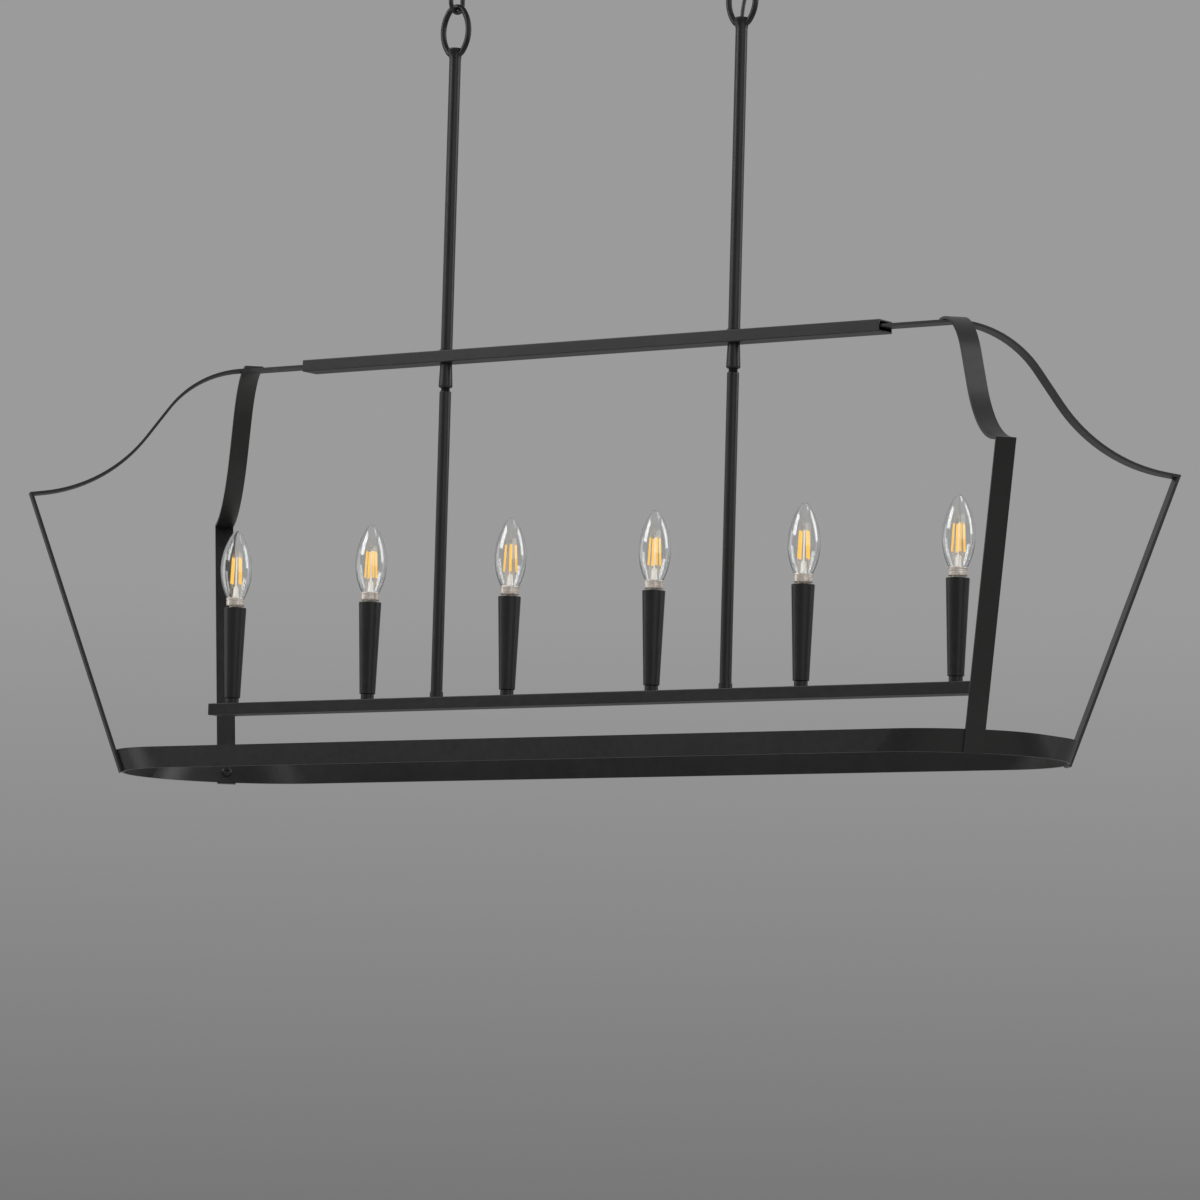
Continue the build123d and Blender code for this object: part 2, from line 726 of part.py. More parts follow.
for i, x in enumerate(lamp_xs):
    axis = Axis((x, 0, 0), (0, 0, 1))
    foot = upright(x, glass_foot_z)

    with BuildPart() as glass:
        with BuildSketch(foot):
            make_face(outer_glass)
        revolve(axis=axis)
        with BuildSketch(foot):
            make_face(inner_glass)
        revolve(axis=axis, mode=Mode.SUBTRACT)
        with BuildSketch(foot):
            with BuildLine():
                Polyline(
                    (0, -bulb_collar_recess + glass_wall / 2),
                    (glass_stem_radius, -bulb_collar_recess + glass_wall / 2),
                    (glass_stem_radius, 0),
                    (glass_press_radius, glass_press_height - glass_press_straight),
                    (glass_press_radius, glass_press_height),
                    (glass_rod_radius, glass_press_height + glass_rod_shoulder),
                    (glass_rod_radius, filament_high),
                    (0, filament_high),
                    close=True,
                )
            make_face()
        revolve(axis=axis)
    save(glass.part, f"bulb_{i + 1}_glass")

    with BuildPart() as cap:
        with BuildSketch(foot):
            with BuildLine():
                Polyline(
                    (0, -bulb_collar_recess - glass_wall),
                    (glass_neck_radius + thread_gap, -bulb_collar_recess - glass_wall),
                    (glass_neck_radius + thread_gap, 0),
                    (bulb_collar_od / 2, 0),
                    (bulb_collar_low_od / 2, -bulb_collar_height),
                    (cap_neck_od / 2, -bulb_collar_height),
                    (cap_neck_od / 2, socket_top_z - glass_foot_z + 2 * wire_gap),
                    (cap_od / 2, socket_top_z - glass_foot_z + 2 * wire_gap),
                    (cap_od / 2, -bulb_collar_height - cap_length),
                    (cap_tip_od / 2, -bulb_collar_height - cap_length - cap_tip_height),
                    (0, -bulb_collar_height - cap_length - cap_tip_height),
                    close=True,
                )
            make_face()
        revolve(axis=axis)
        rounds = cap.edges().filter_by(GeomType.CIRCLE)
        fillet(rounds.filter_by(lambda e: e.radius > bulb_collar_low_od / 2 - thread_gap), bulb_collar_edge)
    save(cap.part, f"bulb_{i + 1}_cap")

    hub = Vector(x, 0, glass_foot_z + filament_high)
    hub_middle = hub + Vector(0, 0, filament_wire)
    rods = []
    for k in range(filament_count):
        turn = radians(360 * (k + 0.5) / filament_count)
        ray = Vector(cos(turn), sin(turn))
        top = hub_middle + ray * filament_high_circle
        low = Vector(x, 0, glass_foot_z + filament_low) + ray * filament_low_circle
        press_out = ray * (glass_press_radius + filament_wire / 2 + thread_gap)
        press = Vector(x, 0, glass_foot_z + glass_press_height - filament_wire_depth) + press_out
        rods.append(rod(low, top, filament_od / 2))
        rods.append(rod(hub_middle, top, filament_wire / 2))
        rods.append(rod(press, low + (top - low).normalized(), filament_wire / 2))
    with BuildPart() as filaments:
        with BuildSketch(Plane.XY.offset(hub.Z)):
            with Locations((x, 0)):
                Circle(2 * filament_wire)
        extrude(amount=2 * filament_wire)
        add(rods)
    save(filaments.part, f"bulb_{i + 1}_filaments")


# ---- wires -------------------------------------------------------------------------------

# inside the bars and stems: one run along the lower bar, one up the right stem, and a
# riser into each lamp holder
bar_wire_z = lamp_bar_z - bar_height + lamp_bar_wall + inner_wire_od / 2 + wire_gap
lead_end_z = lead_route[-1][2]
with BuildPart() as inner_wiring:
    with BuildSketch(Plane(origin=(lamp_xs[0], 0, bar_wire_z), z_dir=(1, 0, 0))):
        Circle(inner_wire_od / 2)
    extrude(amount=lamp_xs[-1] - lamp_xs[0])
    with BuildSketch(Plane.XY.offset(bar_wire_z)):
        with Locations((stem_x, 0)):
            Circle(inner_wire_od / 2)
    extrude(amount=lead_end_z - wire_gap - bar_wire_z)
    with BuildSketch(Plane.XY.offset(bar_wire_z)):
        with Locations(*lamp_points):
            Circle(inner_wire_od / 2)
    extrude(amount=socket_low_z + nipple_reach - wire_gap - bar_wire_z)
save(inner_wiring.part, "inner_wiring")

# the lead's bends: straight runs joined by arcs as large as the shorter run allows
route = [Vector(*point) for point in lead_route]
lead_radii = []
for before, corner, after in zip(route, route[1:], route[2:]):
    turn = (corner - before).get_angle(after - corner)
    shorter = min((corner - before).length, (after - corner).length)
    lead_radii.append(lead_bend_share * shorter / tan(radians(turn / 2)))

with BuildPart() as lead:
    with BuildLine() as lead_path:
        FilletPolyline(*route, radius=lead_radii)
    with BuildSketch(Plane(origin=lead_path.line @ 0, z_dir=lead_path.line % 0)):
        Circle(lead_od / 2)
    sweep()
save(lead.part, "lead")

lead_length = sum(edge.length for edge in lead_path.edges())
lead_section = pi * lead_od**2 / 4
print("lead radii", [round(radius, 1) for radius in lead_radii])
print("lead length", round(lead_length, 1), "volume over section", round(lead.part.volume / lead_section, 1))
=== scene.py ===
import math

import bpy
import numpy as np
from mathutils import Matrix, Vector


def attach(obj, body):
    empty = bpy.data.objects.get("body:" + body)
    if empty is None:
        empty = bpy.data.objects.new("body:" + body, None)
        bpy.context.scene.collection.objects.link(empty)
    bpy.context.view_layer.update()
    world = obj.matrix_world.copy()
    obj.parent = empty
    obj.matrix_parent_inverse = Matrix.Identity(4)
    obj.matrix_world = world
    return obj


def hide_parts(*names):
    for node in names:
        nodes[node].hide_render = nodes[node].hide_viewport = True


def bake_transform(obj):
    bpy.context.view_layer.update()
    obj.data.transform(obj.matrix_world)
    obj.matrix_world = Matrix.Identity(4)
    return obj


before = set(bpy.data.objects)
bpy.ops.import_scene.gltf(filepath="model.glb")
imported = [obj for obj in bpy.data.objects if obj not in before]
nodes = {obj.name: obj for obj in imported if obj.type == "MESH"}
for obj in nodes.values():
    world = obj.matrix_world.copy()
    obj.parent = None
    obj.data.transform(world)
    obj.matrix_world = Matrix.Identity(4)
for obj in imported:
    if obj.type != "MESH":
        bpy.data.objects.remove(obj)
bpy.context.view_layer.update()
print("frame loaded:", len(nodes), "nodes")


# the camera: the photograph's viewing angle, fitted to the pendant's edges
camera = {
    "azimuth": 35.01,      # degrees round from the front, towards +X
    "pitch": 5.534,        # degrees that it looks up
    "roll": 1.536,
    "lens": 175.58,        # millimetres, as is the sensor
    "sensor": 36.0,
    "target": (0.0, 0.0, -0.9257),
    "side": -0.02296,      # where the target lies in the camera's own axes, in metres
    "rise": -0.09916,
    "distance": 6.1999,
    "nearest": 0.1,        # nothing nearer or farther than these is drawn
    "farthest": 200.0,
}


def makeCamera(c):
    # right, up and forward are turned by azimuth, pitch and roll, in that order
    a, b, r = (math.radians(c[k]) for k in ("azimuth", "pitch", "roll"))
    level = Vector((math.cos(a), math.sin(a), 0))
    ahead = Vector((-math.sin(a), math.cos(a), 0))
    forward = ahead * math.cos(b) + Vector((0, 0, math.sin(b)))
    upward = Vector((0, 0, math.cos(b))) - ahead * math.sin(b)
    right = level * math.cos(r) + upward * math.sin(r)
    up = upward * math.cos(r) - level * math.sin(r)
    place = Vector(c["target"]) - right * c["side"] - up * c["rise"] - forward * c["distance"]
    data = bpy.data.cameras.new("camera")
    data.lens = c["lens"]
    data.sensor_width = c["sensor"]
    data.clip_start = c["nearest"]
    data.clip_end = c["farthest"]
    made = bpy.data.objects.new("camera", data)
    axes = Matrix((right, up, -forward)).transposed().to_4x4()
    made.matrix_world = Matrix.Translation(place) @ axes
    bpy.context.scene.collection.objects.link(made)
    bpy.context.scene.camera = made


makeCamera(camera)
print("camera ready")


class Value:
    # one number that varies over a surface; operators on it add Math nodes
    def __init__(self, finish, socket):
        self.finish = finish
        self.socket = socket

    def maths(self, operation, left, right=0.0, clamp=False):
        return self.finish.add("Math", {"operation": operation, "use_clamp": clamp}, {0: left, 1: right})

    def __add__(self, other):
        return self.maths("ADD", self, other)

    def __radd__(self, other):
        return self.maths("ADD", other, self)

    def __sub__(self, other):
        return self.maths("SUBTRACT", self, other)

    def __rsub__(self, other):
        return self.maths("SUBTRACT", other, self)

    def __mul__(self, other):
        return self.maths("MULTIPLY", self, other)

    def __pow__(self, other):
        return self.maths("POWER", self, other)

    def clamped(self):
        return self.maths("ADD", self, 0.0, clamp=True)

    def between(self, low, high):
        # 0 below low, 1 above high, straight in between
        return ((self - low) * (1 / (high - low))).clamped()


# the places of the Mix node's colour sockets: its factor, its two colours and its result
mixFactor, mixLow, mixHigh, mixResult = 0, 6, 7, 2


class Finish:
    # a material built node by node, or the world where its tree is given
    def __init__(self, name, tree=None):
        if tree:
            self.tree = tree
            self.tree.nodes.clear()
            return
        self.material = bpy.data.materials.new(name)
        self.material.use_nodes = True
        self.tree = self.material.node_tree
        self.tree.nodes.clear()
        self.place = self.add("TexCoord", out="Object")

    def add(self, kind, settings=None, sockets=None, out=0):
        made = self.tree.nodes.new("ShaderNode" + kind)
        for key, value in (settings or {}).items():
            setattr(made, key, value)
        for key, value in (sockets or {}).items():
            if isinstance(value, Value):
                self.tree.links.new(value.socket, made.inputs[key])
            elif value is not None:
                made.inputs[key].default_value = value
        return Value(self, made.outputs[out])

    def stretched(self, scale):
        return self.add("Mapping", None, {"Vector": self.place, "Scale": scale})

    def noise(self, scale, detail, roughness, place=None):
        # detail counts the finer layers, and roughness is how strong they are
        sockets = {"Vector": place or self.place, "Scale": scale, "Detail": detail, "Roughness": roughness}
        return self.add("TexNoise", None, sockets, "Fac")

    def cells(self, scale):
        return self.add("TexVoronoi", None, {"Vector": self.place, "Scale": scale}, "Distance")

    def blend(self, factor, low, high):
        # each colour is a tuple of three numbers or a socket
        low = (*low, 1.0) if isinstance(low, tuple) else low
        high = (*high, 1.0) if isinstance(high, tuple) else high
        sockets = {mixFactor: factor, mixLow: low, mixHigh: high}
        return self.add("Mix", {"data_type": "RGBA"}, sockets, mixResult)

    def shaders(self, factor, first, second):
        return self.add("MixShader", None, {0: factor, 1: first, 2: second})

    def bump(self, height, distance, strength=1.0, under=None):
        sockets = {"Height": height, "Distance": distance, "Strength": strength, "Normal": under}
        return self.add("Bump", None, sockets)

    def surface(self, **sockets):
        named = {key.replace("_", " "): value for key, value in sockets.items()}
        shader = self.add("BsdfPrincipled", None, named)
        self.addOutput(shader)
        return self.material

    def addOutput(self, shader, kind="OutputMaterial"):
        output = self.tree.nodes.new("ShaderNode" + kind)
        self.tree.links.new(shader.socket, output.inputs["Surface"])


def paint(name, p, streak=None):
    # satin powder coat: a very dark grey that clouds a little, fine orange peel, a few pale dust specks
    f = Finish(name)
    cloud = f.noise(p["cloudScale"], 3.0, 0.6)
    mottle = f.noise(p["mottleScale"], 4.0, 0.65)
    peel = f.noise(p["peelScale"], 2.0, 0.5)
    sand = f.noise(p["sandScale"], 1.0, 0.5)
    tone = (cloud * p["cloudShare"] + mottle * (1 - p["cloudShare"])).between(*p["toneRange"])
    specks = 1 - f.cells(p["speckScale"]).between(*p["speckRim"])
    rare = f.noise(p["patchScale"], 1.0, 0.5).between(*p["patchRange"])
    colour = f.blend(tone, p["dark"], p["light"])
    colour = f.blend(specks * rare * p["speckShare"], colour, p["dust"])
    rough = p["roughness"] + (mottle - 0.5) * p["roughRange"] + (sand - 0.5) * p["sandRange"]
    if streak:
        drawn = f.noise(1.0, 3.0, 0.6, f.stretched(p[streak]))
        rough = rough + (drawn - 0.5) * p["streakRange"]
    coarse = f.bump(peel, p["peelDepth"])
    fine = f.bump(sand, p["sandDepth"], under=coarse)
    return f.surface(Base_Color=colour, Roughness=rough.clamped(),
                     Specular_IOR_Level=p["specular"], Normal=fine)


satinPaint = {
    "dark": (0.0058, 0.0058, 0.0057),
    "light": (0.0100, 0.0099, 0.0095),
    "dust": (0.060, 0.059, 0.056),
    "roughness": 0.34,
    "specular": 0.42,
    "roughRange": 0.16,
    "sandRange": 0.10,
    "streakRange": 0.14,
    "streakUpright": (260.0, 260.0, 4.0),      # for the drawn stems
    "streakAlong": (4.0, 260.0, 260.0),        # and for the drawn bars and strip
    "cloudShare": 0.55,
    "toneRange": (0.36, 0.64),
    "cloudScale": 11.0,
    "mottleScale": 130.0,
    "peelScale": 1300.0,
    "peelDepth": 0.000018,
    "sandScale": 5200.0,
    "sandDepth": 0.000016,
    "speckScale": 420.0,
    "speckRim": (0.05, 0.09),
    "speckShare": 0.5,
    "patchScale": 46.2,          # the specks come only in patches, of this scale
    "patchRange": (0.62, 0.66),
}


def plated(name, p):
    # plated or blackened steel: a cloudy grey with fine turned scratches and duller patches of grime
    f = Finish(name)
    cloud = f.noise(p["cloudScale"], 4.0, 0.6)
    scratch = f.noise(1.0, 2.0, 0.6, f.stretched(p["scratchScale"]))
    grime = f.noise(p["grimeScale"], 3.0, 0.7).between(*p["grimeRange"])
    colour = f.blend(cloud, p["dark"], p["light"])
    colour = f.blend(grime * p["grimeShare"], colour, p["grime"])
    rough = p["roughness"] + (scratch - 0.5) * p["scratchRough"] + grime * p["grimeRough"]
    return f.surface(Base_Color=colour, Metallic=p["metallic"], Roughness=rough.clamped(),
                     Normal=f.bump(scratch, p["scratchDepth"]))


turnedSteel = {
    "metallic": 1.0,
    "cloudScale": 60.0,
    "scratchScale": (1200.0, 1200.0, 90.0),
    "scratchRough": 0.25,
    "grimeScale": 210.0,
    "grimeRange": (0.55, 0.75),
    "grimeShare": 0.5,
    "grimeRough": 0.2,
}

zincSteel = {
    **turnedSteel,
    "dark": (0.42, 0.41, 0.39),
    "light": (0.62, 0.61, 0.58),
    "grime": (0.24, 0.22, 0.19),
    "roughness": 0.36,
    "scratchDepth": 0.00002,
}

nickelWire = {
    **turnedSteel,
    "dark": (0.50, 0.48, 0.44),
    "light": (0.72, 0.70, 0.66),
    "grime": (0.30, 0.28, 0.25),
    "roughness": 0.28,
    "scratchDepth": 0.00001,
}

solder = {
    **turnedSteel,
    "dark": (0.44, 0.44, 0.45),
    "light": (0.60, 0.60, 0.60),
    "grime": (0.28, 0.27, 0.26),
    "roughness": 0.42,
    "scratchDepth": 0.00003,
}

blackSteel = {
    **turnedSteel,
    "metallic": 0.6,
    "dark": (0.014, 0.014, 0.014),
    "light": (0.034, 0.033, 0.032),
    "grime": (0.008, 0.008, 0.008),
    "roughness": 0.38,
    "scratchDepth": 0.00002,
}

clearGlass = {
    "tint": (0.985, 0.992, 0.99, 1.0),
    "roughness": 0.004,
    "rippleScale": 46.0,
    "rippleDepth": 0.00003,
    "rippleStretch": (1.0, 1.0, 0.45),
    "filmScale": 310.0,
    "filmRange": (0.52, 0.8),
    "filmRough": 0.03,
    "ior": 1.5,
    "gloss": 0.5,
    "glossRough": 0.09,
    "glossIor": 1.7,
}


def glass(name, p):
    # blown glass: clear, with slow ripples left by the blowing and a little dust on the outside
    f = Finish(name)
    ripple = f.noise(p["rippleScale"], 2.0, 0.5, f.stretched(p["rippleStretch"]))
    film = f.noise(p["filmScale"], 3.0, 0.6).between(*p["filmRange"])
    rough = p["roughness"] + film * p["filmRough"]
    return f.surface(Base_Color=p["tint"], Roughness=rough, IOR=p["ior"], Transmission_Weight=1.0,
                     Coat_Weight=p["gloss"], Coat_Roughness=p["glossRough"], Coat_IOR=p["glossIor"],
                     Normal=f.bump(ripple, p["rippleDepth"]))


def frosted(name, p):
    # pinched glass: milky and a little wavy, so that it catches the light, with a white glow that is painted
    # light, standing for the filaments' light falling on the stem
    f = Finish(name)
    wave = f.noise(p["waveScale"], 3.0, 0.6)
    cloud = f.noise(p["cloudScale"], 2.0, 0.5)
    rough = p["roughness"] + (cloud - 0.5) * p["roughRange"]
    # the emission is painted light: the filaments' light falling on the stem
    return f.surface(Base_Color=p["tint"], Roughness=rough.clamped(), IOR=p["ior"],
                     Transmission_Weight=p["clearness"], Coat_Weight=1.0,
                     Coat_Roughness=p["glossRough"], Emission_Color=p["paintedLightColour"],
                     Emission_Strength=p["glow"], Normal=f.bump(wave, p["waveDepth"]))


pinchedGlass = {
    "tint": (0.97, 0.97, 0.96, 1.0),
    "roughness": 0.22,
    "roughRange": 0.2,
    "ior": 1.5,
    "clearness": 0.2,
    "glossRough": 0.06,
    "cloudScale": 210.0,
    "waveScale": 420.0,
    "waveDepth": 0.00012,
    # painted light: the stem's white glow stands for the light of the filaments falling on it
    "paintedLightColour": (1.0, 0.96, 0.88, 1.0),
    "glow": 0.28,
}


pearlMetal = {
    # the warmth of these colours is a painted reflection of the filaments' warm light
    "dark": (0.56, 0.49, 0.43),
    "light": (0.86, 0.79, 0.72),
    "metallic": 0.65,
    "roughness": 0.27,
    "cloudScale": 150.0,
    "cloudShare": 0.3,
    "cloudRough": 0.12,
    "rolledScale": (40.0, 40.0, 1400.0),
    "rolledShare": 0.2,
    "rolledRough": 0.2,
    "crimpScale": (520.0, 520.0, 18.0),
    # painted reflections: how strongly the upright stripes show in the colour
    "paintedStripeShare": 0.5,
    "crimpDepth": 0.00050,
    "crimpStrength": 0.6,
    "toneRange": (0.38, 0.62),
}


def pearl(name, p):
    # pressed aluminium collar: warm silver with faint upright crimps and rolled streaks. The warm tint and
    # the upright stripes that the crimps paint into its colour are painted reflections of the filaments' warm
    # light
    f = Finish(name)
    crimpAndReflection = f.noise(1.0, 2.0, 0.5, f.stretched(p["crimpScale"]))
    cloud = f.noise(p["cloudScale"], 3.0, 0.6)
    rolled = f.noise(1.0, 2.0, 0.6, f.stretched(p["rolledScale"]))
    tone = cloud * p["cloudShare"] + rolled * p["rolledShare"] + crimpAndReflection * p["paintedStripeShare"]
    colour = f.blend(tone.between(*p["toneRange"]), p["dark"], p["light"])
    rough = p["roughness"] + (rolled - 0.5) * p["rolledRough"] + (cloud - 0.5) * p["cloudRough"]
    return f.surface(Base_Color=colour, Metallic=p["metallic"], Roughness=rough.clamped(),
                     Normal=f.bump(crimpAndReflection, p["crimpDepth"], p["crimpStrength"]))


amber = {
    "deep": (0.90, 0.47, 0.060),
    "pale": (0.98, 0.61, 0.115),
    "glow": 0.85,
    "chipScale": 279.0,
    "chipShare": 0.35,
    "chipWander": 0.4,
    "beadDepth": 0.000012,
    "beadStrength": 0.6,
    "grainScale": 1800.0,
    "toneRange": (0.2, 0.8),
    "roughness": 0.36,
    "roughRange": 0.2,
}


def phosphor(name, p):
    # yellow phosphor over a row of tiny chips, which shows as a faint paler beading
    f = Finish(name)
    chips = f.add("TexWave", {"wave_type": "BANDS", "bands_direction": "Z"},
                  {"Vector": f.place, "Scale": p["chipScale"], "Distortion": p["chipWander"]})
    grain = f.noise(p["grainScale"], 2.0, 0.5)
    tone = chips * p["chipShare"] + grain * (1 - p["chipShare"])
    colour = f.blend(tone.between(*p["toneRange"]), p["deep"], p["pale"])
    rough = p["roughness"] + (grain - 0.5) * p["roughRange"]
    return f.surface(Base_Color=colour, Roughness=rough, Emission_Color=colour,
                     Emission_Strength=p["glow"], Normal=f.bump(chips, p["beadDepth"], p["beadStrength"]))


def moulded(name, p):
    # moulded plastic or enamel: slight mottling, fine grain and a soft shine
    f = Finish(name)
    cloud = f.noise(p["scale"], 3.0, 0.6)
    grain = f.noise(p["scale"] * p["grainRatio"], 2.0, 0.5)
    colour = f.blend(cloud.between(*p["toneRange"]), p["dark"], p["light"])
    rough = p["roughness"] + (grain - 0.5) * p["roughRange"]
    return f.surface(Base_Color=colour, Roughness=rough.clamped(), Normal=f.bump(grain, p["depth"]))


mouldedSkin = {
    "grainRatio": 14,
    "toneRange": (0.35, 0.65),
    "roughRange": 0.15,
}

socketPlastic = {
    **mouldedSkin,
    "dark": (0.70, 0.67, 0.60),
    "light": (0.80, 0.78, 0.72),
    "roughness": 0.55,
    "scale": 90.0,
    "depth": 0.00003,
}

wireJacket = {
    **mouldedSkin,
    "dark": (0.018, 0.017, 0.016),
    "light": (0.034, 0.032, 0.029),
    "roughness": 0.42,
    "scale": 160.0,
    "depth": 0.00005,
}

blackGlass = {
    **mouldedSkin,
    "dark": (0.010, 0.008, 0.012),
    "light": (0.020, 0.016, 0.024),
    "roughness": 0.18,
    "scale": 240.0,
    "depth": 0.00002,
}

finishes = {
    "paint": paint("black_paint", satinPaint),
    "stemPaint": paint("black_paint_drawn", satinPaint, "streakUpright"),
    "barPaint": paint("black_paint_bar", satinPaint, "streakAlong"),
    "zinc": plated("zinc_steel", zincSteel),
    "blackThread": plated("black_thread", blackSteel),
    "glass": glass("bulb_glass", clearGlass),
    "pinchedGlass": frosted("pinched_glass", pinchedGlass),
    "pearl": pearl("bulb_collar", pearlMetal),
    "amber": phosphor("filament_amber", amber),
    "nickelWire": plated("nickel_wire", nickelWire),
    "solder": plated("solder", solder),
    "blackGlass": moulded("black_glass", blackGlass),
    "socket": moulded("socket_plastic", socketPlastic),
    "wire": moulded("wire_jacket", wireJacket),
}


def finishOf(name):
    if name.endswith("_glass"):
        return "glass"
    if name.endswith("_cap"):
        return "pearl"
    if name.endswith("_filaments"):
        return "amber"
    if name == "lamp_sockets":
        return "socket"
    if name in ("lead", "inner_wiring"):
        return "wire"
    if name == "threaded_nipples":
        return "blackThread"
    if name in ("canopy_nipples", "lock_nuts", "canopy_nuts", "mounting_bar"):
        return "zinc"
    if "stem_left" in name or "stem_right" in name:
        return "stemPaint"
    if name in ("top_bar", "bulb_bar", "rail_strip"):
        return "barPaint"
    return "paint"


for name, node in nodes.items():
    node.data.materials.clear()
    node.data.materials.append(finishes[finishOf(name)])
print("finishes on the packed nodes")


# shapes are grids of points, worked out whole with numpy: one row after another along the shape, and one
# column after another round it. Lengths in the dictionaries of the bulbs, nipples and screws are in
# millimetres, and in those of the camera, lead and room in metres
mm = 0.001
pole = np.array((0.0, 0.0, 1.0))
sharpEdge = math.radians(38)


def shell(grid, ends=None, closed=False):
    # joins each point to the next in its row and to its neighbour in the next row. Every row wraps round,
    # and the last row joins the first where closed; ends are two points that close the first and last row
    rows, columns = grid.shape[:2]
    r = np.arange(rows if closed else rows - 1)[:, None] * columns
    above = (r + columns) % (rows * columns)
    c = np.arange(columns)[None, :]
    after = (c + 1) % columns
    quads = np.stack((r + c, r + after, above + after, above + c), -1).reshape(-1, 4)
    points = grid.reshape(-1, 3)
    if ends is None:
        return points, quads, np.zeros((0, 3), int)
    c, after = c[0], after[0]
    first, last = len(points), len(points) + 1
    start = np.stack((np.full(columns, first), after, c), -1)
    finish = np.stack((np.full(columns, last), c + first - columns, after + first - columns), -1)
    return np.concatenate((points, ends)), quads, np.concatenate((start, finish))


def turned(outline, centre, sides):
    # a turned solid: each (radius, height) of the outline goes round the upright axis through centre
    radius, height = np.array(outline, float).T * mm
    u = np.linspace(0, 2 * math.pi, sides, endpoint=False)
    grid = np.stack((radius[:, None] * np.cos(u), radius[:, None] * np.sin(u), height[:, None] + 0 * u), -1)
    grid = grid + centre
    return shell(grid, np.array(((0, 0, height[0]), (0, 0, height[-1]))) + centre)


def ringsAlong(path, radius, across, squash=1.0, sides=12):
    # rings round a path that lies in one plane: each is path + radius x (cos u x across + sin u x side),
    # where across is the plane's normal and side is square to it and to the path
    run = np.gradient(path, axis=0)
    run = run / np.linalg.norm(run, axis=1)[:, None]
    side = np.cross(run, across)
    u = np.linspace(0, 2 * math.pi, sides, endpoint=False)[None, :, None]
    ring = across[None, None, :] * np.cos(u) + side[:, None, :] * np.sin(u) * squash
    return path[:, None, :] + ring * radius[:, None, None]


def swept(path, radius, across, squash=1.0, sides=12):
    return shell(ringsAlong(path, radius, across, squash, sides), path[[0, -1]])


def addPiece(name, shapes, finish, body, stands=()):
    # puts the shapes' points and faces into one mesh, with soft shading except over real edges
    starts = np.cumsum([0] + [len(points) for points, quads, tris in shapes[:-1]])
    points = np.concatenate([shape[0] for shape in shapes])
    quads = np.concatenate([shape[1] + at for shape, at in zip(shapes, starts)])
    tris = np.concatenate([shape[2] + at for shape, at in zip(shapes, starts)])
    sizes = np.repeat((4, 3), (len(quads), len(tris)))
    corners = np.concatenate((quads.ravel(), tris.ravel()))
    mesh = bpy.data.meshes.new(name)
    mesh.vertices.add(len(points))
    mesh.vertices.foreach_set("co", points.ravel())
    mesh.loops.add(len(corners))
    mesh.loops.foreach_set("vertex_index", corners)
    mesh.polygons.add(len(sizes))
    mesh.polygons.foreach_set("loop_start", np.cumsum(sizes) - sizes)
    mesh.polygons.foreach_set("use_smooth", np.ones(len(sizes), bool))
    mesh.update(calc_edges=True)
    mesh.set_sharp_from_angle(angle=sharpEdge)
    mesh.materials.append(finishes[finish])
    made = bpy.data.objects.new(name, mesh)
    bpy.context.scene.collection.objects.link(made)
    if body:
        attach(made, body)
    if stands:
        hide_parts(*stands)
    return made


# the lead beside the right-hand chain, from the canopy to the stem loop's collar. It is one smooth line, cut
# into four stretches, each ending near one of the chain's joints
lead = {
    "route": [(0.187, 0.0, -0.009), (0.187, 0.0, -0.042), (0.1873, 0.0175, -0.072), (0.1864, 0.0186, -0.104),
              (0.1875, 0.0174, -0.137), (0.187, 0.018, -0.170), (0.187, 0.0, -0.203), (0.187, 0.0, -0.223)],
    "diameter": 0.004,
    "pointsPerStep": 24,
    "curveOrder": 3,
    "sides": 16,
    # name, the bodies above and below its joint, the height where its bend starts, and the height where the
    # stretch and its bend end. The last one is listed with the left-hand chain, whose links move as the
    # right-hand ones, and a higher end for its bend is given as lastBendEnds
    "stretches": [("lead_wire", "ceiling_mount", "right_link_1", -0.064, -0.0955),
                  ("lead_wire_middle", "right_link_1", "right_link_2", -0.0985, -0.1265),
                  ("lead_wire_low", "right_link_2", "right_link_3", -0.1290, -0.1575),
                  ("lead_wire_end", "left_link_3", "pendant", -0.1590, -0.2230)],
    "lastBendEnds": -0.196,
}


def leadLine(c):
    # the points of a smooth curve through the route, read from its spline
    curve = bpy.data.curves.new("lead_route", "CURVE")
    curve.dimensions = "3D"
    line = curve.splines.new("NURBS")
    line.points.add(len(c["route"]) - 1)
    for point, at in zip(line.points, c["route"]):
        point.co = (*at, 1.0)
    line.order_u = c["curveOrder"]
    line.use_endpoint_u = True
    curve.resolution_u = c["pointsPerStep"]
    guide = bpy.data.objects.new("lead_route", curve)
    bpy.context.scene.collection.objects.link(guide)
    bpy.context.view_layer.update()
    mesh = bpy.data.meshes.new_from_object(guide)
    points = np.empty(3 * len(mesh.vertices))
    mesh.vertices.foreach_get("co", points)
    bpy.data.objects.remove(guide)
    return points.reshape(-1, 3)


def makeLead(c):
    line = leadLine(c)
    radius = np.full(len(line), c["diameter"] / 2)
    rings = ringsAlong(line, radius, np.array((1.0, 0.0, 0.0)), sides=c["sides"])
    first = 0
    for name, above, below, bendStarts, end in c["stretches"]:
        last = int(np.argmin(np.abs(line[:, 2] - end)))
        part = line[first:last + 1]
        tube = shell(rings[first:last + 1], part[[0, -1]])
        made = addPiece(name, [tube], "wire", None, ["lead"])
        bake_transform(made)
        first = last


makeLead(lead)
print("lead ready")


